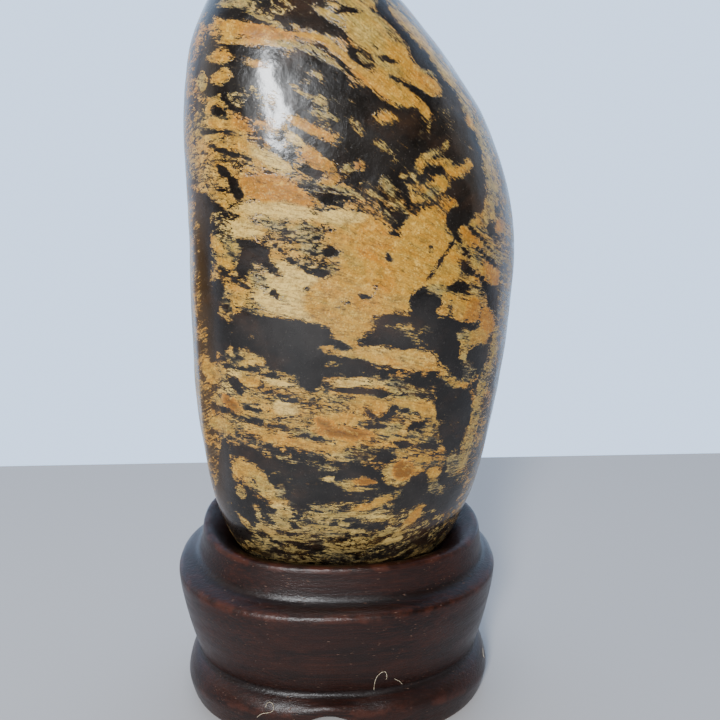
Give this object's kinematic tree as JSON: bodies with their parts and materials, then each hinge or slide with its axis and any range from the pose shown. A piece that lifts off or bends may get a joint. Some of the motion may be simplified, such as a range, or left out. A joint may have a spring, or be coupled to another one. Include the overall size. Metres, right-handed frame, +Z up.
{
  "type": "scholars rock on stand",
  "caption": "Tall polished river pebble with gold and ochre markings on black, standing upright in a carved dark hardwood stand with an oval bowl, a rounded rim and an arched foot ring.",
  "frame": {"origin": "the ground under the middle of the stand", "axes": "+Z up along the stone's height, the front of the stone toward -Y, the long axis of the stand's oval along X"},
  "size_m": [0.0995, 0.071, 0.2185],
  "materials": {
    "stone": "polished and waxed, mottled gold and ochre on black",
    "wood": "dark hardwood, oiled and waxed"
  },
  "bodies": {
    "root": {"stone": "stone", "stand": "wood"}
  },
  "joints": []
}
